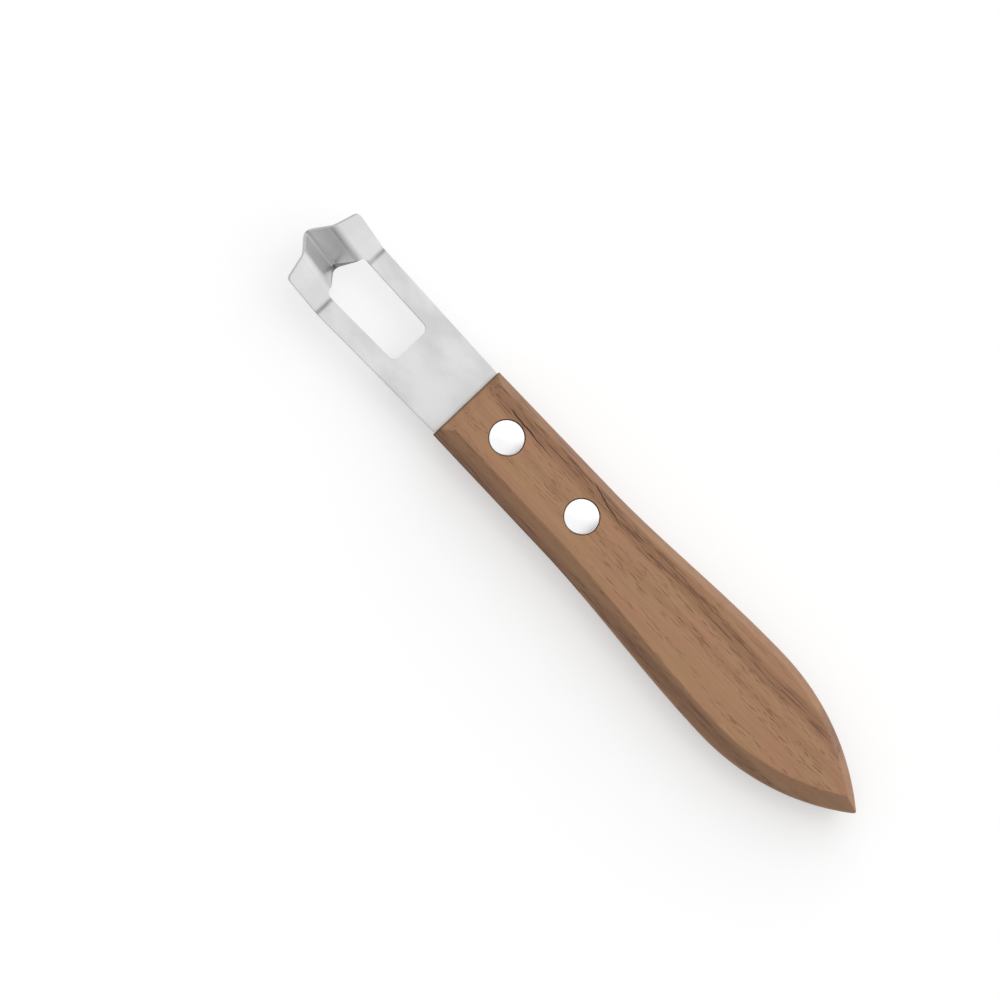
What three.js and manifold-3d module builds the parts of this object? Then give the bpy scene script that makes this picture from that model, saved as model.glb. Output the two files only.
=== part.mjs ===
// Citrus peeler: a stripping blade of formed sheet steel, riveted into a slotted wooden handle.
//
// Millimetres, +Z up. x runs back along the tool from the handle's front end, so the handle lies at
// positive x and the blade reaches forward to negative x. y runs across the tool, which is symmetric,
// and z is measured from the face that the handle rests on. Last, the tool is centred along x.

import * as THREE from 'three';
import { mergeVertices } from 'three/addons/utils/BufferGeometryUtils.js';
import loadManifold from 'manifold-3d';

const wasm = await loadManifold();
wasm.setup();

// Handle: straight neck, swelling grip and pointed tail, bevelled on both faces
const HANDLE_THICKNESS = 12;
const FRONT_WIDTH = 17.2;
const NECK_FLARE = 0.3;
const NECK_LENGTH = 30;
const BELLY_WIDTH = 22;
const SWELL_LENGTH = 46;
const SWELL_EASE_IN = 14;
const SWELL_EASE_OUT = 16;
const TAIL_LENGTH = 30.9;
const SIDE_BEVEL_WIDTH = 2.4;
const SIDE_LAND = 2;
const FRONT_BEVEL_LENGTH = 2.5;
const FRONT_BEVEL_DEPTH = 3;

// Rivets: the sleeve's head is on the top face and the post's head on the bottom face
const FRONT_RIVET_AT = 10;
const RIVET_SPACING = 20.4;
const HEAD_DIAMETER = 6.9;
const HEAD_HEIGHT = 1.6;
const HEAD_EDGE = 0.25;
const HEAD_RECESS = 0.05;
const SLEEVE_DIAMETER = 5;
const POST_DIAMETER = 3.2;
const POST_END_GAP = 0.4;

// Blade: the sheet, its tang, the flat with a window, and the lip bent up ahead of the flat
const SHEET = 0.8;
const TANG_BEHIND_RIVET = 10;
const TANG_CORNER_RADIUS = 3;
const TANG_INSET = 0.35;
const BEND_WIDTH = 17.9;
const FLAT_LENGTH = 31.2;
const BEND_RADIUS = 1.5;
const LIP_ANGLE = THREE.MathUtils.degToRad(30);
const LIP_WIDTH = 18.5;
const LIP_LENGTH = 8.9;
const LIP_POINT = 2.7;
const LIP_POINT_RADIUS = 4;
const LIP_CORNER_RADIUS = 1;

// Window and cutting edge: the strip of peel passes through here
const WINDOW_FROM_HANDLE = 15;
const RAIL_WIDTH = 4;
const WINDOW_RADIUS = 1.4;
const EDGE_FROM_BEND = 1.4;
const EDGE_CORNER_RADIUS = 1.1;
const EDGE_LAND = 0.15;
const GRIND_LENGTH = 1.4;

// V channel pressed into the lip, drawn by its inner radii
const CHANNEL_INSET = 1;
const FLANK_ANGLE = THREE.MathUtils.degToRad(48);
const VALLEY_RADIUS = 0.9;
const SHOULDER_RADIUS = 1.6;

// Fits
const SLOT_CLEARANCE = 0.1;
const RIVET_CLEARANCE = 0.1;

// Facets on curves
const ROUND_STEPS = 48;
const CURVE_STEPS = 8;
const SWELL_STEPS = 16;
const TAIL_STEPS = 20;

// Worked out from the sizes above
const SIDE_BEVEL_DEPTH = (HANDLE_THICKNESS - SIDE_LAND) / 2;
const BLADE_WIDTH = FRONT_WIDTH - 2 * TANG_INSET;
const REAR_RIVET_AT = FRONT_RIVET_AT + RIVET_SPACING;
const RIVETS = { front: FRONT_RIVET_AT, rear: REAR_RIVET_AT };
const TANG_LENGTH = REAR_RIVET_AT + TANG_BEHIND_RIVET;
const BORE_DIAMETER = POST_DIAMETER + 2 * RIVET_CLEARANCE;
const WINDOW_HALF = BEND_WIDTH / 2 - RAIL_WIDTH;
const CHANNEL_HALF = WINDOW_HALF - CHANNEL_INSET;
const BEND_MIDDLE_RADIUS = BEND_RADIUS + SHEET / 2;

// Where the bend ends and the lip begins, on the middle of the sheet. In the lip's own frame x runs
// across, y along the lip away from the bend, and z out of its hollow side.
const lipFrame = new THREE.Matrix4()
  .makeBasis(
    new THREE.Vector3(0, 1, 0),
    new THREE.Vector3(-Math.cos(LIP_ANGLE), 0, Math.sin(LIP_ANGLE)),
    new THREE.Vector3(Math.sin(LIP_ANGLE), 0, Math.cos(LIP_ANGLE)),
  )
  .setPosition(
    -FLAT_LENGTH - BEND_MIDDLE_RADIUS * Math.sin(LIP_ANGLE),
    0,
    BEND_MIDDLE_RADIUS * (1 - Math.cos(LIP_ANGLE)),
  );

const wood = new THREE.MeshStandardMaterial({
  name: 'walnut', color: 0xa37e61, roughness: 0.6, metalness: 0, flatShading: true,
});
const steel = new THREE.MeshStandardMaterial({
  name: 'blade_steel', color: 0xd4d4d4, roughness: 0.35, metalness: 1, flatShading: true,
});
const rivetMetal = new THREE.MeshStandardMaterial({
  name: 'rivet_metal', color: 0xe6e6e4, roughness: 0.3, metalness: 1, flatShading: true,
});

// A closed geometry as a solid that can be joined and cut
function solidFrom(geometry) {
  const bare = geometry.clone();
  bare.deleteAttribute('normal');
  bare.deleteAttribute('uv');
  const merged = mergeVertices(bare);
  const corners = merged.index.array;
  const triangles = [];
  for (let i = 0; i < corners.length; i += 3) {
    const [a, b, c] = corners.slice(i, i + 3);
    if (a !== b && b !== c && c !== a) triangles.push(a, b, c);
  }
  return new wasm.Manifold(new wasm.Mesh({
    numProp: 3,
    vertProperties: merged.attributes.position.array,
    triVerts: Uint32Array.from(triangles),
  }));
}

function geometryFrom(solid) {
  const mesh = solid.getMesh();
  const geometry = new THREE.BufferGeometry();
  geometry.setAttribute('position', new THREE.BufferAttribute(mesh.vertProperties, 3));
  geometry.setIndex(new THREE.BufferAttribute(mesh.triVerts, 1));
  return geometry;
}

// An outline drawn in x and y, extruded along z
function extrudeUp(shape, bottom, top) {
  const options = { depth: top - bottom, bevelEnabled: false, curveSegments: CURVE_STEPS };
  return new THREE.ExtrudeGeometry(shape, options).translate(0, 0, bottom);
}

// An outline drawn in x and z, extruded along y
function extrudeAcross(shape, from, to) {
  const options = { depth: to - from, bevelEnabled: false, curveSegments: CURVE_STEPS };
  return new THREE.ExtrudeGeometry(shape, options).rotateX(Math.PI / 2).translate(0, to, 0);
}

// A profile of [radius, height] pairs, turned about the z axis
function turned(profile) {
  const points = profile.map(([radius, height]) => new THREE.Vector2(radius, height));
  return new THREE.LatheGeometry(points, ROUND_STEPS).rotateX(Math.PI / 2);
}

// A closed outline through corners of [x, y, radius], each rounded by its radius
function roundedShape(corners) {
  const shape = new THREE.Shape();
  corners.forEach(([x, y, radius = 0], i) => {
    const corner = new THREE.Vector2(x, y);
    const before = new THREE.Vector2(...corners.at(i - 1)).sub(corner).normalize();
    const after = new THREE.Vector2(...corners[(i + 1) % corners.length]).sub(corner).normalize();
    const halfAngle = before.angleTo(after) / 2;
    const setback = radius / Math.tan(halfAngle);
    const start = before.clone().multiplyScalar(setback).add(corner);
    if (i === 0) shape.moveTo(start.x, start.y);
    else shape.lineTo(start.x, start.y);
    if (radius === 0) return;
    const centre = before.clone().add(after).setLength(radius / Math.sin(halfAngle)).add(corner);
    const end = after.clone().multiplyScalar(setback).add(corner);
    const clockwise = before.cross(after) > 0;
    const startAngle = start.sub(centre).angle();
    const endAngle = end.sub(centre).angle();
    shape.absarc(centre.x, centre.y, radius, startAngle, endAngle, clockwise);
  });
  return shape.closePath();
}

// Corners given for y > 0, from one end to the other, and the same corners mirrored back again
function mirrored(corners) {
  return [...corners, ...corners.map(([x, y, radius]) => [x, -y, radius]).reverse()];
}

// Closed skin through rings of as many points each, from the lowest up, with flat ends
function loft(rings) {
  const count = rings[0].length;
  const topRing = (rings.length - 1) * count;
  const index = [];
  for (let ring = 0; ring < topRing; ring += count) {
    for (let i = 0; i < count; i++) {
      const here = ring + i;
      const next = ring + ((i + 1) % count);
      index.push(here, next, next + count, here, next + count, here + count);
    }
  }
  for (const [a, b, c] of THREE.ShapeUtils.triangulateShape(rings[0], [])) index.push(a, c, b);
  for (const [a, b, c] of THREE.ShapeUtils.triangulateShape(rings.at(-1), [])) {
    index.push(topRing + a, topRing + b, topRing + c);
  }
  return new THREE.BufferGeometry().setFromPoints(rings.flat()).setIndex(index);
}

// The handle's plan outline at one height, drawn in by an inset. The tail is an arc that leaves the
// widest point along the tool and meets its mirror image in a point.
function handleRing(inset, z) {
  const bellyAt = NECK_LENGTH + SWELL_LENGTH;
  const neck = (FRONT_WIDTH + NECK_FLARE) / 2 - inset;
  const belly = BELLY_WIDTH / 2 - inset;
  const swell = new THREE.CubicBezierCurve(
    new THREE.Vector2(NECK_LENGTH, neck),
    new THREE.Vector2(NECK_LENGTH + SWELL_EASE_IN, neck),
    new THREE.Vector2(bellyAt - SWELL_EASE_OUT, belly),
    new THREE.Vector2(bellyAt, belly),
  );
  const tailRadius = (TAIL_LENGTH ** 2 + (BELLY_WIDTH / 2) ** 2) / BELLY_WIDTH;
  const tailCentre = BELLY_WIDTH / 2 - tailRadius;
  const tailSweep = Math.acos(-tailCentre / (tailRadius - inset));
  const tail = new THREE.EllipseCurve(
    bellyAt, tailCentre, tailRadius - inset, tailRadius - inset, Math.PI / 2, Math.PI / 2 - tailSweep, true,
  );
  const side = [
    new THREE.Vector2(0, FRONT_WIDTH / 2 - inset),
    ...swell.getPoints(SWELL_STEPS),
    ...tail.getPoints(TAIL_STEPS).slice(1, -1),
  ];
  const tip = new THREE.Vector2(bellyAt + (tailRadius - inset) * Math.sin(tailSweep), 0);
  const otherSide = side.map((point) => new THREE.Vector2(point.x, -point.y));
  return [...otherSide, tip, ...side.reverse()].map((point) => new THREE.Vector3(point.x, point.y, z));
}

// The stepped hole of one rivet: a seat for each head and a way through for the sleeve
function rivetSeat(at) {
  const seat = HEAD_DIAMETER / 2 + RIVET_CLEARANCE;
  const way = SLEEVE_DIAMETER / 2 + RIVET_CLEARANCE;
  const seatDepth = HEAD_RECESS + HEAD_HEIGHT + RIVET_CLEARANCE;
  return turned([
    [0, -HEAD_HEIGHT],
    [seat, -HEAD_HEIGHT],
    [seat, seatDepth],
    [way, seatDepth],
    [way, HANDLE_THICKNESS - seatDepth],
    [seat, HANDLE_THICKNESS - seatDepth],
    [seat, HANDLE_THICKNESS + HEAD_HEIGHT],
    [0, HANDLE_THICKNESS + HEAD_HEIGHT],
  ]).translate(at, 0, 0);
}

// The corner planed off the front end, whose sloping face runs past both of its edges
function frontBevel() {
  const wedge = new THREE.Shape([
    new THREE.Vector2(-FRONT_BEVEL_LENGTH, HANDLE_THICKNESS - 2 * FRONT_BEVEL_DEPTH),
    new THREE.Vector2(2 * FRONT_BEVEL_LENGTH, HANDLE_THICKNESS + FRONT_BEVEL_DEPTH),
    new THREE.Vector2(-FRONT_BEVEL_LENGTH, HANDLE_THICKNESS + FRONT_BEVEL_DEPTH),
  ]);
  return extrudeAcross(wedge, -BELLY_WIDTH, BELLY_WIDTH);
}

function makeHandle() {
  const body = loft([
    handleRing(SIDE_BEVEL_WIDTH, 0),
    handleRing(0, SIDE_BEVEL_DEPTH),
    handleRing(0, HANDLE_THICKNESS - SIDE_BEVEL_DEPTH),
    handleRing(SIDE_BEVEL_WIDTH, HANDLE_THICKNESS),
  ]);
  const slotLength = TANG_LENGTH + SLOT_CLEARANCE;
  const slotHeight = SHEET + 2 * SLOT_CLEARANCE;
  const slot = new THREE.BoxGeometry(2 * slotLength, 2 * BELLY_WIDTH, slotHeight)
    .translate(0, 0, HANDLE_THICKNESS / 2);
  const bottomBevel = frontBevel().rotateX(Math.PI).translate(0, 0, HANDLE_THICKNESS);
  const cuts = [slot, frontBevel(), bottomBevel, ...Object.values(RIVETS).map(rivetSeat)];
  const solid = cuts.reduce((rest, cut) => rest.subtract(solidFrom(cut)), solidFrom(body));
  return new THREE.Mesh(geometryFrom(solid), wood);
}

// Tang, flat and bend as seen from the side, with a short run into the lip, which then joins on
function stripProfile() {
  const centre = SHEET / 2 + BEND_RADIUS;
  const start = -Math.PI / 2;
  const end = start - LIP_ANGLE;
  const join = EDGE_FROM_BEND / 4;
  const inside = new THREE.Vector3(0, join, SHEET / 2).applyMatrix4(lipFrame);
  const outside = new THREE.Vector3(0, join, -SHEET / 2).applyMatrix4(lipFrame);
  const profile = new THREE.Shape();
  profile.moveTo(TANG_LENGTH, SHEET / 2);
  profile.lineTo(-FLAT_LENGTH, SHEET / 2);
  profile.absarc(-FLAT_LENGTH, centre, BEND_RADIUS, start, end, true);
  profile.lineTo(inside.x, inside.z);
  profile.lineTo(outside.x, outside.z);
  profile.absarc(-FLAT_LENGTH, centre, BEND_RADIUS + SHEET, end, start, false);
  profile.lineTo(TANG_LENGTH, -SHEET / 2);
  return profile.closePath();
}

// The strip seen from above: it widens from the handle to the bend, as its window does
function makeStrip() {
  const lipStart = new THREE.Vector3().setFromMatrixPosition(lipFrame);
  const pastBend = lipStart.x - SHEET - EDGE_FROM_BEND;
  const outline = roundedShape(mirrored([
    [pastBend, BEND_WIDTH / 2],
    [-FLAT_LENGTH, BEND_WIDTH / 2],
    [0, BLADE_WIDTH / 2],
    [TANG_LENGTH, BLADE_WIDTH / 2, TANG_CORNER_RADIUS],
  ]));
  const rearShare = WINDOW_FROM_HANDLE / FLAT_LENGTH;
  const rearWidth = THREE.MathUtils.lerp(BLADE_WIDTH, BEND_WIDTH, rearShare);
  const window = roundedShape(mirrored([
    [pastBend - SHEET, WINDOW_HALF],
    [-FLAT_LENGTH, WINDOW_HALF],
    [-WINDOW_FROM_HANDLE, rearWidth / 2 - RAIL_WIDTH, WINDOW_RADIUS],
  ]));
  const reach = lipStart.z + SHEET + EDGE_FROM_BEND;
  const strip = solidFrom(extrudeAcross(stripProfile(), -BEND_WIDTH, BEND_WIDTH))
    .intersect(solidFrom(extrudeUp(outline, -reach, reach)))
    .subtract(solidFrom(extrudeUp(window, -2 * reach, 2 * reach)));
  const hole = SLEEVE_DIAMETER / 2 + RIVET_CLEARANCE;
  return Object.values(RIVETS).reduce((rest, at) => {
    const drill = turned([[0, -SHEET], [hole, -SHEET], [hole, SHEET], [0, SHEET]]).translate(at, 0, 0);
    return rest.subtract(solidFrom(drill));
  }, strip);
}

// The arc at the bottom of the V channel, on the lip's cross-section, at an offset from the middle of
// the sheet, which turns from one flank to the other
function addValley(path, offset, flankAngle) {
  const radius = VALLEY_RADIUS + SHEET / 2;
  const centre = radius / Math.cos(FLANK_ANGLE) - CHANNEL_HALF * Math.tan(FLANK_ANGLE);
  const bottom = -Math.PI / 2;
  path.absarc(0, centre, radius - offset, bottom - flankAngle, bottom + flankAngle, false);
}

// The lip's cross-section at an offset from the middle of the sheet: wing, shoulder, valley, shoulder, wing
function lipSection(offset) {
  const radius = SHOULDER_RADIUS + SHEET / 2;
  const shoulderAt = CHANNEL_HALF + radius * Math.tan(FLANK_ANGLE / 2);
  const level = Math.PI / 2;
  const section = new THREE.Path();
  section.moveTo(-LIP_WIDTH, offset);
  section.lineTo(-shoulderAt, offset);
  section.absarc(-shoulderAt, -radius, radius + offset, level, level - FLANK_ANGLE, true);
  addValley(section, offset, FLANK_ANGLE);
  section.absarc(shoulderAt, -radius, radius + offset, level + FLANK_ANGLE, level, true);
  section.lineTo(LIP_WIDTH, offset);
  return section.getPoints(CURVE_STEPS);
}

// The wheel that sharpens the edge from the hollow side: a V that climbs away from the edge. Its flanks
// are steeper than the channel's, so that the ground face fades out at the shoulders.
function grindingWheel() {
  const depth = SHEET - EDGE_LAND;
  const steepness = Math.tan(FLANK_ANGLE) + depth / Math.cos(FLANK_ANGLE) / CHANNEL_HALF;
  const valley = new THREE.Path();
  addValley(valley, SHEET / 2 - depth, Math.atan(steepness));
  const points = valley.getPoints(CURVE_STEPS);
  const width = 2 * CHANNEL_HALF;
  const right = points.at(-1).clone().add(new THREE.Vector2(width, width * steepness));
  const left = new THREE.Vector2(-right.x, right.y);
  const before = -SHEET / 4;
  const past = 3 * GRIND_LENGTH;
  return extrudeAcross(new THREE.Shape([left, ...points, right]), before, past)
    .applyMatrix4(new THREE.Matrix4().makeShear(0, 0, 0, depth / GRIND_LENGTH, 0, 0))
    .translate(0, EDGE_FROM_BEND, 0);
}

// The lip in its own frame: pointed ahead, open behind where the window runs up to the cutting edge
function makeLip() {
  const outline = roundedShape([
    [-BEND_WIDTH / 2, 0],
    [-WINDOW_HALF, 0],
    [-WINDOW_HALF, EDGE_FROM_BEND, EDGE_CORNER_RADIUS],
    [WINDOW_HALF, EDGE_FROM_BEND, EDGE_CORNER_RADIUS],
    [WINDOW_HALF, 0],
    [BEND_WIDTH / 2, 0],
    [LIP_WIDTH / 2, LIP_LENGTH, LIP_CORNER_RADIUS],
    [0, LIP_LENGTH + LIP_POINT, LIP_POINT_RADIUS],
    [-LIP_WIDTH / 2, LIP_LENGTH, LIP_CORNER_RADIUS],
  ]);
  const section = new THREE.Shape([...lipSection(-SHEET / 2), ...lipSection(SHEET / 2).reverse()]);
  const reach = 2 * CHANNEL_HALF;
  return solidFrom(extrudeAcross(section, -SHEET, LIP_LENGTH + 2 * LIP_POINT))
    .intersect(solidFrom(extrudeUp(outline, -reach, reach)))
    .subtract(solidFrom(grindingWheel()));
}

function makeBlade() {
  const lip = solidFrom(geometryFrom(makeLip()).applyMatrix4(lipFrame));
  return new THREE.Mesh(geometryFrom(makeStrip().add(lip)), steel);
}

// Hollow half of a rivet, its bore open at the lower end
function makeSleeve() {
  const top = HANDLE_THICKNESS - HEAD_RECESS;
  const low = HEAD_RECESS + HEAD_HEIGHT + RIVET_CLEARANCE;
  return new THREE.Mesh(turned([
    [0, top - HEAD_HEIGHT],
    [BORE_DIAMETER / 2, top - HEAD_HEIGHT],
    [BORE_DIAMETER / 2, low],
    [SLEEVE_DIAMETER / 2, low],
    [SLEEVE_DIAMETER / 2, top - HEAD_HEIGHT],
    [HEAD_DIAMETER / 2, top - HEAD_HEIGHT],
    [HEAD_DIAMETER / 2, top - HEAD_EDGE],
    [HEAD_DIAMETER / 2 - HEAD_EDGE, top],
    [0, top],
  ]), rivetMetal);
}

// Solid half of a rivet, driven up into the sleeve
function makePost() {
  const tip = HANDLE_THICKNESS - HEAD_RECESS - HEAD_HEIGHT - POST_END_GAP;
  return new THREE.Mesh(turned([
    [0, HEAD_RECESS],
    [HEAD_DIAMETER / 2 - HEAD_EDGE, HEAD_RECESS],
    [HEAD_DIAMETER / 2, HEAD_RECESS + HEAD_EDGE],
    [HEAD_DIAMETER / 2, HEAD_RECESS + HEAD_HEIGHT],
    [POST_DIAMETER / 2, HEAD_RECESS + HEAD_HEIGHT],
    [POST_DIAMETER / 2, tip - HEAD_EDGE],
    [POST_DIAMETER / 2 - HEAD_EDGE, tip],
    [0, tip],
  ]), rivetMetal);
}

// Assembly
const tool = new THREE.Group();

const handle = makeHandle();
handle.name = 'handle';
tool.add(handle);

const blade = makeBlade();
blade.name = 'blade';
blade.position.z = HANDLE_THICKNESS / 2;
tool.add(blade);

for (const [place, at] of Object.entries(RIVETS)) {
  const sleeve = makeSleeve();
  sleeve.name = `${place}_rivet_sleeve`;
  const post = makePost();
  post.name = `${place}_rivet_post`;
  const rivet = new THREE.Group();
  rivet.add(sleeve, post);
  rivet.position.x = at;
  tool.add(rivet);
}

const box = new THREE.Box3().setFromObject(tool);
tool.position.x = -(box.min.x + box.max.x) / 2;

const peeler = new THREE.Group();
peeler.add(tool);

export default peeler;
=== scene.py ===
"""Citrus peeler: the looks of its wooden handle, its formed steel blade and its cutlery rivets.

Pieces are modelled in millimetres in the tool's own frame: x runs back from the handle's front end, y across
the tool and z up from the face that it rests on. mesh_from() then moves each into the shared frame, which
is in metres.
"""

import math

import bmesh
import bpy
from mathutils import Matrix, Vector
from mathutils.geometry import interpolate_bezier


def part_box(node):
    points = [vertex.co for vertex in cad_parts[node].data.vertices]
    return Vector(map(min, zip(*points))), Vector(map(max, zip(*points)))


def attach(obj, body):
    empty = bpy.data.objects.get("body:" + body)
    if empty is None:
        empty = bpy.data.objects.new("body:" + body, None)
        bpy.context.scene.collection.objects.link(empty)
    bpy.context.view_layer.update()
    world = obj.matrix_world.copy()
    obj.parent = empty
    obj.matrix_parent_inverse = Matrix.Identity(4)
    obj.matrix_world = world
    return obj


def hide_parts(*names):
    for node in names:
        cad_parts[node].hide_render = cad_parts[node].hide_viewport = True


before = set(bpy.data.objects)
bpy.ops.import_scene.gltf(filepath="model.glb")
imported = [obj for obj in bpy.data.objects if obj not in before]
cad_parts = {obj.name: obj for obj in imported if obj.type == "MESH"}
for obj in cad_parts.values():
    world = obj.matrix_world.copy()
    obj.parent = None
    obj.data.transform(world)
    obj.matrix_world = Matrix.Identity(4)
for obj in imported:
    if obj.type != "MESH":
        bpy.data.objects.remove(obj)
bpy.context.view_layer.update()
MM = 0.001
ALONG = Vector((1, 0, 0))
ACROSS = Vector((0, 1, 0))
UP = Vector((0, 0, 1))


def box_in_mm(node):
    """The lowest and highest corner of one of the frame's solids, in millimetres."""
    low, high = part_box(node)
    return low / MM, high / MM


# Handle sizes
HANDLE_LOW, HANDLE_HIGH = box_in_mm("handle")
HANDLE_FRONT = HANDLE_LOW.x
HANDLE_LENGTH = HANDLE_HIGH.x - HANDLE_LOW.x
HANDLE_THICKNESS = HANDLE_HIGH.z
BELLY_HALF = HANDLE_HIGH.y
FRONT_HALF = 8.6
NECK_HALF = 8.75
NECK_LENGTH = 30
SWELL_LENGTH = 46
SWELL_EASE_IN = 14
SWELL_EASE_OUT = 16
BELLY_AT = NECK_LENGTH + SWELL_LENGTH
TAIL_LENGTH = HANDLE_LENGTH - BELLY_AT
SIDE_BEVEL_WIDTH = 2.4
SIDE_LAND = 2
SIDE_BEVEL_DEPTH = (HANDLE_THICKNESS - SIDE_LAND) / 2
FRONT_BEVEL_LENGTH = 2.5
FRONT_BEVEL_DEPTH = 3
ARRIS_RADIUS = 0.3
ARRIS_ANGLE = math.radians(12)
ARRIS_STEPS = 3
HANDLE_SMOOTH_BELOW = math.radians(40)
SWELL_STEPS = 49
TAIL_STEPS = 40

# Rivet sizes
RIVET_LOW, RIVET_HIGH = box_in_mm("front_rivet_sleeve")
HEAD_RADIUS = (RIVET_HIGH.x - RIVET_LOW.x) / 2
HEAD_HEIGHT = 1.6
HEAD_TOP = RIVET_HIGH.z
HEAD_EDGE = 0.25
HEAD_EDGE_STEPS = 3
HEAD_CROWN = 0.04
SLEEVE_RADIUS = 2.5
SLEEVE_LOW = RIVET_LOW.z
POST_RADIUS = 1.6
POST_TIP = box_in_mm("front_rivet_post")[1].z
RIVET_CLEARANCE = 0.1
ROUND_STEPS = 96
RIVET_SHARP_ABOVE = math.radians(40)


def rivet_places():
    """How far behind the handle's front end each rivet lies."""
    places = {}
    for name in ("front", "rear"):
        low, high = box_in_mm(f"{name}_rivet_sleeve")
        places[name] = (low.x + high.x) / 2 - HANDLE_FRONT
    return places


RIVETS = rivet_places()

# Blade sizes
SHEET = 0.8
SLOT_CLEARANCE = 0.1
TANG_LENGTH = box_in_mm("blade")[1].x - HANDLE_FRONT
TANG_CORNER_RADIUS = 3
BLADE_HALF = 8.25
BEND_HALF = 8.95
BEND_RADIUS = 2.6
LIP_ANGLE = math.radians(30)
BEND_TANGENT = (BEND_RADIUS + SHEET / 2) * math.tan(LIP_ANGLE / 2)
FLAT_TO_FOLD = 31.71
LIP_FROM_FOLD = 9.41
EDGE_FROM_FOLD = 1.91
FLAT_LENGTH = FLAT_TO_FOLD - BEND_TANGENT
LIP_HALF = 9.25
LIP_LENGTH = LIP_FROM_FOLD - BEND_TANGENT
LIP_POINT = 2.7
LIP_POINT_RADIUS = 4
LIP_CORNER_RADIUS = 1
WINDOW_FROM_HANDLE = 15
RAIL_WIDTH = 4
WINDOW_RADIUS = 1.4
EDGE_FROM_BEND = EDGE_FROM_FOLD - BEND_TANGENT
EDGE_CORNER_RADIUS = 1.1
EDGE_LAND = 0.15
GRIND_LENGTH = 1.4
CHANNEL_INSET = 1
FLANK_ANGLE = math.radians(48)
VALLEY_RADIUS = 0.9
SHOULDER_RADIUS = 1.6
RIM_RADIUS = 0.07
RIM_STEPS = 4
RIM_ANGLE = math.radians(60)
# How far the rims are dulled and darkened: a sheared finish, and painted shade on the thin edges.
RIM_DULLNESS_AND_SHADE = 0.4
BLADE_SMOOTH_BELOW = math.radians(20)
WINDOW_HALF = BEND_HALF - RAIL_WIDTH
CHANNEL_HALF = WINDOW_HALF - CHANNEL_INSET
SHOULDER_AT = CHANNEL_HALF + (SHOULDER_RADIUS + SHEET / 2) * math.tan(FLANK_ANGLE / 2)
BEND_LENGTH = (BEND_RADIUS + SHEET / 2) * LIP_ANGLE
LIP_START = -FLAT_LENGTH - BEND_LENGTH
EDGE_AT = LIP_START - EDGE_FROM_BEND
CORNER_STEPS = 8
BEND_STEPS = 10
CHANNEL_STEPS = 56

# Points closer than this are one point
WELD = 0.003


# Mesh helpers
def chain(bm, points):
    """Vertices through points, each joined to the next by an edge."""
    vertices = [bm.verts.new(point) for point in points]
    for here, there in zip(vertices, vertices[1:]):
        bm.edges.new((here, there))
    return vertices


def swept(bm, vertex, centre, angle, steps):
    """Sweeps a vertex about a centre into an arc, and gives the vertex at its end."""
    arc = bmesh.ops.spin(bm, geom=[vertex], cent=centre, axis=UP, angle=angle, steps=steps)
    return parts_of(arc["geom_last"], bmesh.types.BMVert)[0]


def parts_of(geometry, kind):
    """The vertices, edges or faces among a list of mixed geometry."""
    return [part for part in geometry if isinstance(part, kind)]


def everything(bm):
    """All vertices, edges and faces."""
    return bm.verts[:] + bm.edges[:] + bm.faces[:]


def round_off(bm, geometry, radius, steps, affect="EDGES"):
    """Rounds edges, or the corners of a flat outline."""
    bmesh.ops.bevel(
        bm, geom=geometry, offset=radius, offset_type="OFFSET", segments=steps, profile=0.5,
        affect=affect, clamp_overlap=True, material=-1,
    )


def sharp_edges(bm, angle):
    """Edges whose two faces turn by more than an angle."""
    return [edge for edge in bm.edges if edge.calc_face_angle(0) > angle]


def plane_off(bm, point, outwards):
    """Takes away what lies outside a plane and closes the cut with one face."""
    cut = bmesh.ops.bisect_plane(
        bm, geom=everything(bm), plane_co=point, plane_no=outwards, clear_outer=True
    )
    bmesh.ops.contextual_create(bm, geom=parts_of(cut["geom_cut"], bmesh.types.BMEdge))


def turned(profile):
    """A solid of revolution about the z axis, from a run of (radius, height) points that ends on it."""
    bm = bmesh.new()
    chain(bm, [(radius, 0, height) for radius, height in profile])
    bmesh.ops.spin(
        bm, geom=bm.verts[:] + bm.edges[:], cent=(0, 0, 0), axis=UP, angle=math.tau, steps=ROUND_STEPS,
        use_merge=True,
    )
    bmesh.ops.remove_doubles(bm, verts=bm.verts, dist=WELD)
    bmesh.ops.recalc_face_normals(bm, faces=bm.faces)
    return bm


def mesh_from(bm, name):
    """The bmesh as a mesh in the shared frame."""
    bmesh.ops.translate(bm, verts=bm.verts, vec=(HANDLE_FRONT, 0, 0))
    bmesh.ops.scale(bm, verts=bm.verts, vec=(MM, MM, MM))
    mesh = bpy.data.meshes.new(name)
    bm.to_mesh(mesh)
    bm.free()
    return mesh


def add_object(name, mesh):
    """An object at the origin, in the scene."""
    made = bpy.data.objects.new(name, mesh)
    bpy.context.scene.collection.objects.link(made)
    return made


def cut_out(piece, cutter):
    """Cuts a bmesh out of a piece."""
    tool = add_object("cutter", mesh_from(cutter, "cutter"))
    cut = piece.modifiers.new("cut", "BOOLEAN")
    cut.operation = "DIFFERENCE"
    cut.solver = "EXACT"
    cut.object = tool
    shown = piece.evaluated_get(bpy.context.evaluated_depsgraph_get())
    mesh = bpy.data.meshes.new_from_object(shown)
    piece.modifiers.clear()
    piece.data = mesh
    bpy.data.objects.remove(tool)


def finish_piece(piece, node, material, smooth_below):
    """Shades a piece, gives it its material and makes it stand for one solid of the frame."""
    piece.data.materials.clear()
    piece.data.materials.append(material)
    piece.data.shade_smooth()
    piece.data.set_sharp_from_angle(angle=smooth_below)
    facets = piece.modifiers.new("even_facets", "TRIANGULATE")
    facets.min_vertices = 5
    facets.ngon_method = "BEAUTY"
    even = piece.modifiers.new("even_normals", "WEIGHTED_NORMAL")
    even.keep_sharp = True
    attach(piece, "root")
    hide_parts(node)


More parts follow.
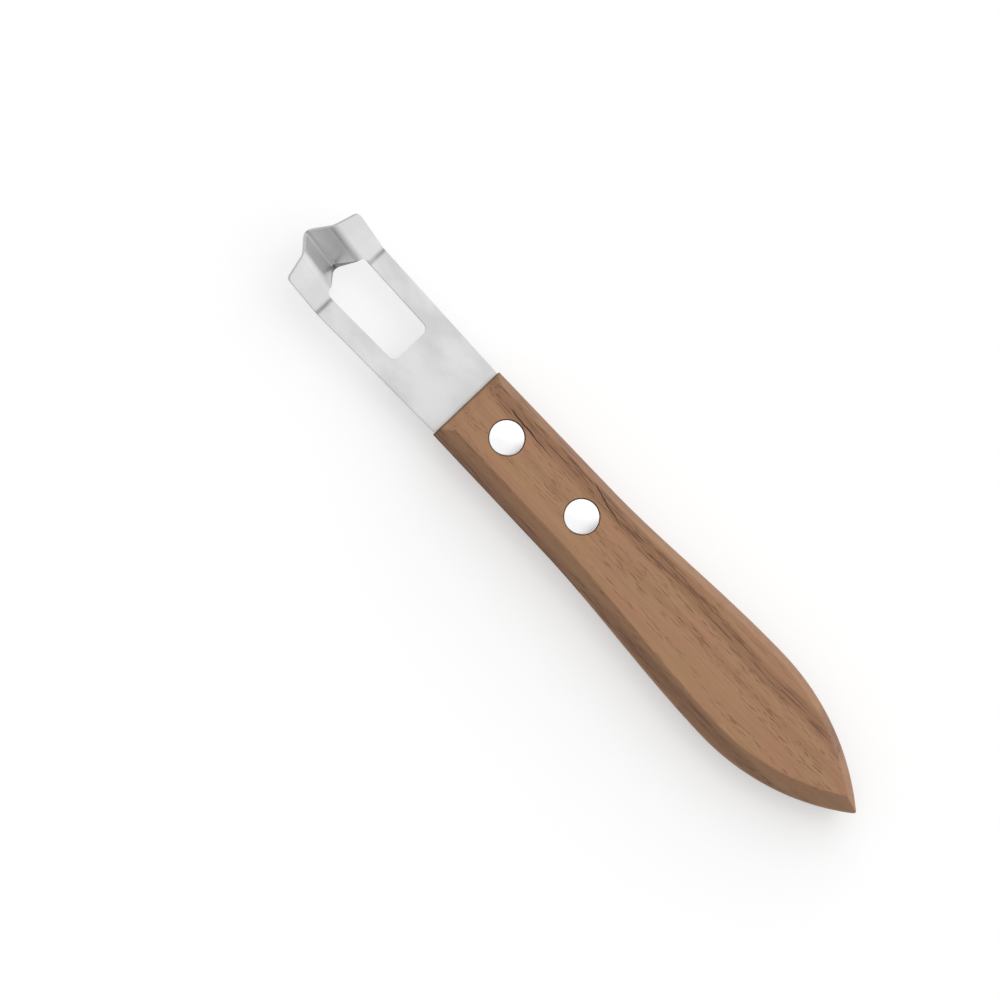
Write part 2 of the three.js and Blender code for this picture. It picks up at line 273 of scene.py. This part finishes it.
# Handle
def handle_ring(bm, inset, height):
    """The closed plan outline at one height, drawn in by an inset.

    It runs along the neck and the swell, then by an arc to the tail's point.
    """
    known = set(everything(bm))
    swell = interpolate_bezier(
        Vector((NECK_LENGTH, NECK_HALF - inset, height)),
        Vector((NECK_LENGTH + SWELL_EASE_IN, NECK_HALF - inset, height)),
        Vector((BELLY_AT - SWELL_EASE_OUT, BELLY_HALF - inset, height)),
        Vector((BELLY_AT, BELLY_HALF - inset, height)),
        SWELL_STEPS,
    )
    side = chain(bm, [Vector((0, FRONT_HALF - inset, height)), *swell])
    radius = (TAIL_LENGTH**2 + BELLY_HALF**2) / (2 * BELLY_HALF)
    centre = Vector((BELLY_AT, BELLY_HALF - radius, height))
    sweep = math.acos(-centre.y / (radius - inset))
    swept(bm, side[-1], centre, -sweep, TAIL_STEPS)
    half = [part for part in everything(bm) if part not in known]
    bmesh.ops.mirror(bm, geom=half, axis="Y", merge_dist=WELD)
    ring = [part for part in everything(bm) if part not in known]
    front = [vertex for vertex in parts_of(ring, bmesh.types.BMVert) if vertex.co.x < WELD]
    return parts_of(ring, bmesh.types.BMEdge) + [bm.edges.new(front)]


def handle_body():
    """Four rings joined into a blank with bevels round both faces, then planed off at the front."""
    bm = bmesh.new()
    rings = [
        handle_ring(bm, SIDE_BEVEL_WIDTH, 0),
        handle_ring(bm, 0, SIDE_BEVEL_DEPTH),
        handle_ring(bm, 0, HANDLE_THICKNESS - SIDE_BEVEL_DEPTH),
        handle_ring(bm, SIDE_BEVEL_WIDTH, HANDLE_THICKNESS),
    ]
    for lower, upper in zip(rings, rings[1:]):
        bmesh.ops.bridge_loops(bm, edges=lower + upper)
    for face_edges in (rings[0], rings[-1]):
        bmesh.ops.contextual_create(bm, geom=face_edges)
    slope = Vector((-FRONT_BEVEL_DEPTH, 0, FRONT_BEVEL_LENGTH))
    plane_off(bm, Vector((FRONT_BEVEL_LENGTH, 0, HANDLE_THICKNESS)), slope)
    slope.z = -slope.z
    plane_off(bm, Vector((FRONT_BEVEL_LENGTH, 0, 0)), slope)
    bmesh.ops.recalc_face_normals(bm, faces=bm.faces)
    round_off(bm, sharp_edges(bm, ARRIS_ANGLE), ARRIS_RADIUS, ARRIS_STEPS)
    return bm


def slot_for_tang():
    """What a saw takes out for the tang, open at the front and at both sides."""
    length = TANG_LENGTH + SLOT_CLEARANCE
    height = SHEET + 2 * SLOT_CLEARANCE
    middle = Vector((0, 0, HANDLE_THICKNESS / 2))
    bm = bmesh.new()
    bmesh.ops.create_cube(bm, size=1)
    bmesh.ops.scale(bm, verts=bm.verts, vec=(2 * length, 4 * BELLY_HALF, height))
    bmesh.ops.translate(bm, verts=bm.verts, vec=middle)
    return bm


def rivet_seat(at):
    """The stepped hole for one rivet, with a seat for a head at each end."""
    seat = HEAD_RADIUS + RIVET_CLEARANCE
    way = SLEEVE_RADIUS + RIVET_CLEARANCE
    high = HEAD_TOP - HEAD_HEIGHT - RIVET_CLEARANCE
    low = HANDLE_THICKNESS - high
    above = HANDLE_THICKNESS + HEAD_HEIGHT
    bm = turned([
        (0, -HEAD_HEIGHT), (seat, -HEAD_HEIGHT), (seat, low), (way, low),
        (way, high), (seat, high), (seat, above), (0, above),
    ])
    bmesh.ops.translate(bm, verts=bm.verts, vec=at * ALONG)
    return bm


def add_handle(material):
    piece = add_object("wooden_handle", mesh_from(handle_body(), "wooden_handle"))
    cut_out(piece, slot_for_tang())
    for at in RIVETS.values():
        cut_out(piece, rivet_seat(at))
    finish_piece(piece, "handle", material, HANDLE_SMOOTH_BELOW)


# Blade
def blade_pattern():
    """Half of the flat sheet as one face: tang, blade and lip, round the window and the rivet holes."""
    bm = bmesh.new()
    lip_end = LIP_START - LIP_LENGTH
    slant = Vector((LIP_POINT, LIP_HALF, 0)).normalized()
    point = Vector((lip_end - LIP_POINT, 0, 0))
    point_centre = point + LIP_POINT_RADIUS / slant.y * ALONG
    point_start = point + LIP_POINT_RADIUS * slant.x / slant.y * slant
    rear_share = WINDOW_FROM_HANDLE / FLAT_LENGTH
    window_rear = BLADE_HALF + (BEND_HALF - BLADE_HALF) * rear_share - RAIL_WIDTH
    outside = [
        (TANG_LENGTH, 0, 0),
        (TANG_LENGTH, BLADE_HALF, TANG_CORNER_RADIUS),
        (0, BLADE_HALF, 0),
        (-FLAT_LENGTH, BEND_HALF, 0),
        (LIP_START, BEND_HALF, 0),
        (lip_end, LIP_HALF, LIP_CORNER_RADIUS),
        (point_start.x, point_start.y, 0),
    ]
    inside = [
        (EDGE_AT, 0, 0),
        (EDGE_AT, WINDOW_HALF, EDGE_CORNER_RADIUS),
        (-FLAT_LENGTH, WINDOW_HALF, 0),
        (-WINDOW_FROM_HANDLE, window_rear, WINDOW_RADIUS),
        (-WINDOW_FROM_HANDLE, 0, 0),
    ]
    before = chain(bm, [(x, y, 0) for x, y, _ in outside])
    after = chain(bm, [(x, y, 0) for x, y, _ in inside])
    tip = swept(bm, before[-1], point_centre, math.acos(slant.y), CORNER_STEPS)
    bm.edges.new((tip, after[0]))
    last = after[-1]
    hole = SLEEVE_RADIUS + RIVET_CLEARANCE
    for at in RIVETS.values():
        start = bm.verts.new((at - hole, 0, 0))
        bm.edges.new((last, start))
        last = swept(bm, start, at * ALONG, -math.pi, ROUND_STEPS // 2)
    bm.edges.new((last, before[0]))
    bmesh.ops.contextual_create(bm, geom=bm.edges[:])
    for (_, _, radius), vertex in zip(outside + inside, before + after):
        if radius:
            one, other = [edge.other_vert(vertex).co - vertex.co for edge in vertex.link_edges]
            setback = radius / math.tan(one.angle(other) / 2)
            round_off(bm, [vertex], setback, CORNER_STEPS, affect="VERTICES")
    return bm


def is_cutting_edge(edge):
    return all(abs(end.co.x - EDGE_AT) < WELD for end in edge.verts)


def blade_blank():
    """The flat blank: the pattern and its mirror image, as thick as the sheet, with its rims rounded."""
    bm = blade_pattern()
    bmesh.ops.mirror(bm, geom=everything(bm), axis="Y", merge_dist=WELD)
    bmesh.ops.translate(bm, verts=bm.verts, vec=-SHEET / 2 * UP)
    raised = bmesh.ops.extrude_face_region(bm, geom=bm.faces[:])
    bmesh.ops.translate(bm, verts=parts_of(raised["geom"], bmesh.types.BMVert), vec=SHEET * UP)
    bmesh.ops.recalc_face_normals(bm, faces=bm.faces)
    rims = [edge for edge in sharp_edges(bm, RIM_ANGLE) if not is_cutting_edge(edge)]
    round_off(bm, rims, RIM_RADIUS, RIM_STEPS)
    return bm


def score(bm, point, direction, ahead_of=math.inf):
    """Divides the part of the blank that lies ahead of a place along a plane."""
    faces = [face for face in bm.faces if all(corner.co.x < ahead_of + WELD for corner in face.verts)]
    geometry = {part for face in faces for part in (face, *face.edges, *face.verts)}
    bmesh.ops.bisect_plane(bm, geom=list(geometry), plane_co=point, plane_no=direction)


def ground_off(point):
    """How much is ground off the hollow side above a point of the blank. It fades out at the shoulders."""
    share = 1 - abs(point.y) / CHANNEL_HALF - max(EDGE_AT - point.x, 0) / GRIND_LENGTH
    return (SHEET - EDGE_LAND) * max(share, 0)


def channel_height(across, offset):
    """Height across the lip's V channel, at an offset from the middle of the sheet.

    From the middle outwards come the valley, the flank, the shoulder and the flat wing.
    """
    valley_middle = VALLEY_RADIUS + SHEET / 2
    shoulder_middle = SHOULDER_RADIUS + SHEET / 2
    valley_centre = valley_middle / math.cos(FLANK_ANGLE) - CHANNEL_HALF * math.tan(FLANK_ANGLE)
    valley = valley_middle - offset
    shoulder = shoulder_middle + offset
    valley_end = valley * math.sin(FLANK_ANGLE)
    flank_end = SHOULDER_AT - shoulder * math.sin(FLANK_ANGLE)
    out = abs(across)
    if out < valley_end:
        return valley_centre - math.sqrt(valley**2 - out**2)
    if out < flank_end:
        return valley_centre - valley * math.cos(FLANK_ANGLE) + (out - valley_end) * math.tan(FLANK_ANGLE)
    if out < SHOULDER_AT:
        return math.sqrt(shoulder**2 - (SHOULDER_AT - out) ** 2) - shoulder_middle
    return offset


def formed(point):
    """Where a point of the blank lies once the edge is ground, the lip bent and its channel pressed."""
    past_bend = -FLAT_LENGTH - point.x
    if past_bend <= 0:
        return point
    turn = LIP_ANGLE * min(past_bend / BEND_LENGTH, 1)
    out = Vector((-math.sin(turn), 0, -math.cos(turn)))
    forward = Vector((-math.cos(turn), 0, math.sin(turn)))
    centre = Vector((-FLAT_LENGTH, point.y, SHEET / 2 + BEND_RADIUS))
    height = point.z
    along = past_bend - BEND_LENGTH
    if along > 0:
        height = channel_height(point.y, min(point.z, SHEET / 2 - ground_off(point)))
    return centre + (BEND_RADIUS + SHEET / 2 - height) * out + max(along, 0) * forward


def blade_sheet():
    """The blank, divided where it bends and then formed. Cut and ground faces are marked for the finish."""
    bm = blade_blank()
    # The cut layer: on the rims a dull sheared finish that also paints shade; on the ground faces painted
    # shade.
    cut = bm.faces.layers.float.new("cut")
    for face in bm.faces:
        face[cut] = RIM_DULLNESS_AND_SHADE * (abs(face.normal.z) < math.cos(RIM_ANGLE))
    for step in range(BEND_STEPS + 1):
        score(bm, (-FLAT_LENGTH - BEND_LENGTH * step / BEND_STEPS) * ALONG, ALONG)
    grind_end = (EDGE_AT - GRIND_LENGTH) * ALONG
    score(bm, EDGE_AT * ALONG, ALONG)
    score(bm, grind_end, ALONG)
    for side in (-1, 1):
        score(bm, grind_end, Vector((-1 / GRIND_LENGTH, side / CHANNEL_HALF, 0)), EDGE_AT)
    for step in range(-CHANNEL_STEPS, CHANNEL_STEPS + 1):
        score(bm, SHOULDER_AT * step / CHANNEL_STEPS * ACROSS, ACROSS, LIP_START)
    bmesh.ops.dissolve_degenerate(bm, edges=bm.edges, dist=WELD)
    # Painted shade: the ground faces beside the cutting edge are marked to be darkened in full.
    for face in bm.faces:
        middle = face.calc_center_median()
        if middle.x < EDGE_AT and middle.z > SHEET / 4 and ground_off(middle) > 0:
            face[cut] = 1
    for vertex in bm.verts:
        vertex.co = formed(vertex.co)
    bmesh.ops.translate(bm, verts=bm.verts, vec=HANDLE_THICKNESS / 2 * UP)
    return bm


def add_blade(material):
    piece = add_object("steel_blade", mesh_from(blade_sheet(), "steel_blade"))
    finish_piece(piece, "blade", material, BLADE_SMOOTH_BELOW)


# Rivets
def sleeve_profile():
    """The hollow half, whose head is on the upper face."""
    under = HEAD_TOP - HEAD_HEIGHT
    bore = POST_RADIUS + RIVET_CLEARANCE
    return [
        (0, under), (bore, under), (bore, SLEEVE_LOW), (SLEEVE_RADIUS, SLEEVE_LOW), (SLEEVE_RADIUS, under),
        (HEAD_RADIUS, under), (HEAD_RADIUS, HEAD_TOP - HEAD_CROWN), (0, HEAD_TOP),
    ]


def post_profile():
    """The solid half, whose head is on the lower face."""
    low = HANDLE_THICKNESS - HEAD_TOP
    under = low + HEAD_HEIGHT
    return [
        (0, low), (HEAD_RADIUS, low + HEAD_CROWN), (HEAD_RADIUS, under), (POST_RADIUS, under),
        (POST_RADIUS, POST_TIP), (0, POST_TIP),
    ]


def add_rivet_half(name, at, profile, node, material):
    bm = turned(profile)
    round_off(bm, sharp_edges(bm, RIVET_SHARP_ABOVE), HEAD_EDGE, HEAD_EDGE_STEPS)
    bmesh.ops.translate(bm, verts=bm.verts, vec=at * ALONG)
    piece = add_object(name, mesh_from(bm, name))
    finish_piece(piece, node, material, RIVET_SHARP_ABOVE)


# Shader maths
class Value:
    """An output of a node tree. Arithmetic on it adds Math nodes to the tree."""

    def __init__(self, tree, socket=None):
        self.tree = tree
        self.socket = socket

    def node(self, kind, settings, sockets, output=0):
        """Adds a node with its settings and what its sockets take, and gives one of its outputs."""
        made = self.tree.nodes.new(kind)
        for name, setting in settings.items():
            setattr(made, name, setting)
        for name, given in sockets.items():
            if isinstance(given, Value):
                given.into(made.inputs[name])
            else:
                made.inputs[name].default_value = given
        return Value(self.tree, made.outputs[output])

    def beside(self, output):
        """Another output of the node that this one comes from."""
        return Value(self.tree, self.socket.node.outputs[output])

    def into(self, socket):
        self.tree.links.new(self.socket, socket)

    def math(self, operation, *values):
        return self.node("ShaderNodeMath", {"operation": operation}, dict(enumerate(values)))

    def __add__(self, other):
        return self.math("ADD", self, other)

    def __sub__(self, other):
        return self.math("SUBTRACT", self, other)

    def __rsub__(self, other):
        return self.math("SUBTRACT", other, self)

    def __mul__(self, other):
        return self.math("MULTIPLY", self, other)

    def __truediv__(self, other):
        return self.math("DIVIDE", self, other)

    def __abs__(self):
        return self.math("ABSOLUTE", self)

    __radd__ = __add__
    __rmul__ = __mul__

    def rise(self, low, high):
        """0 up to a low value and 1 from a high one, with a smooth step between them."""
        settings = {"interpolation_type": "SMOOTHSTEP"}
        return self.node("ShaderNodeMapRange", settings, {0: self, 1: low, 2: high})

    def blend(self, none, full):
        """A colour between two others, by this share."""
        return self.node("ShaderNodeMix", {"data_type": "RGBA"}, {0: self, 6: none, 7: full}, 2)

    def shade(self, base):
        """A colour made darker or lighter by this factor."""
        settings = {"data_type": "RGBA", "blend_type": "MULTIPLY"}
        return self.node("ShaderNodeMix", settings, {0: 1, 6: base, 7: self}, 2)

    def noise(self, stretch, detail, shift=0):
        """Soft noise on this place, about 0 to 1, with its count of features per millimetre on each axis."""
        moved = self.node(
            "ShaderNodeMapping", {}, {"Vector": self, "Location": (shift, shift, shift), "Scale": stretch}
        )
        return self.node("ShaderNodeTexNoise", {}, {"Vector": moved, "Scale": 1, "Detail": detail}, "Fac")


def colour(red, green, blue):
    """A colour from its values in a picture, 0 to 255, as a node takes it."""
    def linear(value):
        share = value / 255
        return share / 12.92 if share <= 0.04045 else ((share + 0.055) / 1.055) ** 2.4
    return (linear(red), linear(green), linear(blue), 1)


def start_finish(name):
    """A material, its shader and the place on the tool in millimetres, from the handle's front end."""
    material = bpy.data.materials.new(name)
    material.use_nodes = True
    tree = material.node_tree
    metres = Value(tree).node("ShaderNodeTexCoord", {}, {}, "Object")
    place = metres.node(
        "ShaderNodeMapping", {},
        {"Vector": metres, "Location": (-HANDLE_FRONT, 0, 0), "Scale": (1 / MM, 1 / MM, 1 / MM)},
    )
    return material, tree.nodes["Principled BSDF"], place


def split(place):
    """The three coordinates of a place."""
    x = place.node("ShaderNodeSeparateXYZ", {}, {0: place})
    return x, x.beside("Y"), x.beside("Z")


def bumps(height, depth, shader):
    """Raises a surface by a height from 0 to 1, for a depth in millimetres."""
    normal = height.node("ShaderNodeBump", {}, {"Strength": 1, "Distance": depth * MM, "Height": height})
    normal.into(shader.inputs["Normal"])


# Materials
SEAMS_MIDDLE = -2.9
SEAMS_APART = 16
GRAIN_TILT = 0.55
FRONT_SPLIT = {"start": (6.2, 4.35), "end": (19.4, 3.5), "sag": 0, "width": 0.24}
REAR_SPLIT = {"start": (27.2, 6.4), "end": (39.4, 4.1), "sag": 0.45, "width": 0.17}


def split_line(x, y, start, end, sag, width):
    """A fine split in the wood between two points of the top face, that sags and tapers out at both ends."""
    (x0, y0), (x1, y1) = start, end
    along = (x - x0) / (x1 - x0)
    off = abs(y - y0 - along * (y1 - y0) + along * (1 - along) * 4 * sag)
    taper = along.rise(0, 0.12) * (1 - along.rise(0.4, 1))
    return 1 - (off / (taper * width + WELD)).rise(0.4, 1)


def walnut_finish():
    """Oiled walnut: growth bands and fibres along the tool, open pores, dark seams and two splits."""
    material, shader, place = start_finish("oiled_walnut")
    x, y, z = split(place)
    bow = (place.noise((0.012, 0.08, 0.08), 2) - 0.5) * 4 + (place.noise((0.03, 0.4, 0.4), 2) - 0.5) * 0.5
    below = (HANDLE_THICKNESS - z) * GRAIN_TILT
    ring = y - below + bow
    grain = place.node("ShaderNodeCombineXYZ", {}, {0: x, 1: ring, 2: z})
    bands = grain.noise((0.006, 0.42, 0.02), 2)
    fibres = grain.noise((0.09, 3.2, 1.6), 3)
    clouds = place.noise((0.07, 0.16, 0.16), 2, 17)
    groups = grain.noise((0.03, 0.5, 0.1), 1, 7).rise(0.4, 0.62)
    pores = grain.noise((0.34, 4.6, 3.6), 1, 3).rise(0.56, 0.7) * groups
    wave = (place.noise((0.05, 0.1, 0.1), 2, 11) - 0.5) * 3
    seam = 1 - abs(abs(y - below + wave - SEAMS_MIDDLE) - SEAMS_APART / 2).rise(0.5, 2.2)
    dashes = grain.noise((0.14, 3, 2.4), 2, 5).rise(0.5, 0.66) * seam
    wander = y + (place.noise((0.5, 0.3, 0.3), 2, 2) - 0.5) * 0.5
    front_split = split_line(x, wander, **FRONT_SPLIT)
    rear_split = split_line(x, wander, **REAR_SPLIT)
    upper_face = z.rise(HANDLE_THICKNESS / 2, HANDLE_THICKNESS)
    splits = front_split.math("MAXIMUM", front_split, rear_split) * upper_face
    # Painted shade: a dark strip along the front end, where the handle meets the blade.
    painted_front_shade = 1 - x.rise(0.15, 0.6)
    tone = bands.rise(0.3, 0.7).blend(colour(152, 114, 83), colour(163, 125, 93))
    tone = (clouds.rise(0.35, 0.65) * 0.4).blend(tone, colour(161, 116, 92))
    tone = (0.84 + fibres * 0.32).shade(tone)
    tone = (seam * 0.48).blend(tone, colour(131, 94, 71))
    tone = (pores * 0.5).blend(tone, colour(96, 65, 44))
    tone = (dashes * 0.6).blend(tone, colour(88, 57, 40))
    tone = (splits * 0.8).blend(tone, colour(44, 24, 16))
    tone = (painted_front_shade * 0.6).blend(tone, colour(72, 56, 40))
    tone.into(shader.inputs["Base Color"])
    (0.5 + fibres * 0.12 + pores * 0.1).into(shader.inputs["Roughness"])
    shader.inputs["Specular IOR Level"].default_value = 0.25
    bumps(fibres * 0.25 - pores - dashes * 0.6 - splits, 0.06, shader)
    return material


def steel_finish():
    """Satin stainless sheet: a cloudy sheen, fine lines from the rolls, dull cut faces and painted shade."""
    material, shader, place = start_finish("satin_steel")
    x, y, _ = split(place)
    clouds = place.noise((0.1, 0.15, 0.15), 3, 9).rise(0.32, 0.68)
    lines = place.noise((0.05, 7, 7), 2, 4)
    # The cut attribute darkens the base colour: dull sheared rims with painted shade, and painted shade on
    # ground faces.
    cut = place.node("ShaderNodeAttribute", {"attribute_name": "cut"}, {}, "Fac")
    # Painted shade: a darker band across the bend and a dark line along the bottom of the V's valley.
    painted_bend_shade = 1 - abs(x + FLAT_LENGTH + BEND_LENGTH / 2).rise(0.2, 0.8)
    painted_valley_shade = x.math("LESS_THAN", x, EDGE_AT / 2) * (1 - abs(y).rise(0.1, 0.5))
    sheen = 0.585 + clouds * 0.15 + lines * 0.02
    grey = sheen * (1 - cut * 0.6) * (1 - painted_bend_shade * 0.15) * (1 - painted_valley_shade * 0.5)
    grey.into(shader.inputs["Base Color"])
    (0.32 + clouds * 0.12 + lines * 0.06 + cut * 0.1).into(shader.inputs["Roughness"])
    shader.inputs["Metallic"].default_value = 1
    bumps(lines + clouds, 0.004, shader)
    return material


def rivet_finish():
    """Bright rivet heads, faced on the lathe: faint rings about each rivet's own axis."""
    material, shader, place = start_finish("bright_rivets")
    x, y, _ = split(place)
    front, rear = RIVETS.values()
    beyond = abs(x - (front + rear) / 2) - (rear - front) / 2
    square = beyond * beyond + y * y
    out = place.node("ShaderNodeCombineXYZ", {}, {0: square.math("SQRT", square)})
    rings = out.noise((4, 0, 0), 2)
    smears = place.noise((0.4, 0.4, 0.4), 2)
    (0.9 + smears * 0.06 + rings * 0.03).into(shader.inputs["Base Color"])
    (0.14 + smears * 0.1 + rings * 0.06).into(shader.inputs["Roughness"])
    shader.inputs["Metallic"].default_value = 1
    bumps(rings, 0.002, shader)
    return material


# Stage
BRIGHT_SIDE = Vector((-0.3, 0.75, 0.59))
KEY_POWER = 0.35
KEY_SPREAD = math.radians(90)
FILL_SIDE = Vector((0.86, 0.25, 0.45))
FILL_POWER = 0.18
FILL_SPREAD = math.radians(50)
ROOM_LOW = 0.4
ROOM_HIGH = 1.3
ROOM_DIMMING = 0.9
FLOOR_GREY = 0.6
FLOOR_REACH = 6


def seen_directly(tree):
    """1 where the camera, a reflection or glass looks, and 0 for the light that a surface scatters."""
    camera = Value(tree).node("ShaderNodeLightPath", {}, {}, "Is Camera Ray")
    mirrored = camera.math("MAXIMUM", camera, camera.beside("Is Glossy Ray"))
    return camera.math("MAXIMUM", mirrored, camera.beside("Is Transmission Ray"))


def add_floor():
    """A pale floor that looks white and keeps the tool's shadow."""
    bm = bmesh.new()
    bmesh.ops.create_grid(bm, size=FLOOR_REACH)
    mesh = bpy.data.meshes.new("floor")
    bm.to_mesh(mesh)
    bm.free()
    material, shader, _ = start_finish("floor")
    shader.inputs["Base Color"].default_value = (FLOOR_GREY, FLOOR_GREY, FLOOR_GREY, 1)
    glow = (1 - FLOOR_GREY) * seen_directly(material.node_tree)
    glow.into(shader.inputs["Emission Color"])
    shader.inputs["Emission Strength"].default_value = 1
    shader.inputs["Roughness"].default_value = 1
    shader.inputs["Specular IOR Level"].default_value = 0
    mesh.materials.append(material)
    add_object("floor", mesh)


def add_room():
    """A white room, lit from one side. Reflections find two dimmer zones in it, like a studio's screens."""
    world = bpy.data.worlds.new("room")
    world.use_nodes = True
    tree = world.node_tree
    background = tree.nodes["Background"]
    background.inputs["Color"].default_value = (1, 1, 1, 1)
    direction = Value(tree).node("ShaderNodeTexCoord", {}, {}, "Generated")
    x, y, z = split(direction)
    facing = direction.node(
        "ShaderNodeVectorMath", {"operation": "DOT_PRODUCT"}, {0: direction, 1: BRIGHT_SIDE}, "Value"
    )
    lit = ROOM_LOW + (ROOM_HIGH - ROOM_LOW) * facing.rise(-0.4, 1)
    between = x.rise(0.2, 0.42) * (1 - x.rise(0.56, 0.68)) * (1 - y.rise(0.3, 0.6))
    near = x.rise(-0.1, 0.2) * (1 - x.rise(0.58, 0.8)) * (1 - y.rise(-0.25, 0.05)) * (1 - z.rise(0.65, 0.9))
    glossy = x.node("ShaderNodeLightPath", {}, {}, "Is Glossy Ray")
    dimmed = between.math("MAXIMUM", between, near) * glossy * ROOM_DIMMING
    strength = lit + (1 - lit) * seen_directly(tree) - dimmed
    strength.into(background.inputs["Strength"])
    bpy.context.scene.world = world


def add_lamp(name, towards, power, spread):
    """A soft lamp far off, that lights every place alike."""
    data = bpy.data.lights.new(name, "SUN")
    data.energy = power
    data.angle = spread
    lamp = bpy.data.objects.new(name, data)
    bpy.context.scene.collection.objects.link(lamp)
    lamp.rotation_euler = towards.to_track_quat("Z", "Y").to_euler()


# Camera
VIEW_DISTANCE = 0.9
VIEW_WIDTH = 0.18839
VIEW_MIDDLE = Vector((17.64 + HANDLE_FRONT, -8.04, HANDLE_THICKNESS / 2)) * MM
TILT_ACROSS = math.radians(10.47)
TILT_ALONG = math.radians(-1.08)
ROLL = math.radians(46.29)


def add_camera():
    """Looks down on the tool, which lies aslant in the picture."""
    back = Vector((math.tan(TILT_ALONG), -math.tan(TILT_ACROSS), 1)).normalized()
    right = ACROSS.cross(back).normalized()
    level = Matrix((right, back.cross(right), back)).transposed()
    turn = level @ Matrix.Rotation(ROLL, 3, "Z")
    data = bpy.data.cameras.new("camera")
    data.lens = data.sensor_width * VIEW_DISTANCE / VIEW_WIDTH
    camera = bpy.data.objects.new("camera", data)
    bpy.context.scene.collection.objects.link(camera)
    camera.matrix_world = Matrix.Translation(VIEW_MIDDLE + VIEW_DISTANCE * back) @ turn.to_4x4()
    bpy.context.scene.camera = camera


# The whole scene
add_handle(walnut_finish())
add_blade(steel_finish())
bright = rivet_finish()
for name, at in RIVETS.items():
    add_rivet_half(f"{name}_rivet_top", at, sleeve_profile(), f"{name}_rivet_sleeve", bright)
    add_rivet_half(f"{name}_rivet_bottom", at, post_profile(), f"{name}_rivet_post", bright)
add_floor()
add_room()
add_lamp("key", BRIGHT_SIDE, KEY_POWER, KEY_SPREAD)
add_lamp("fill", FILL_SIDE, FILL_POWER, FILL_SPREAD)
add_camera()
bpy.context.scene.view_settings.view_transform = "Standard"
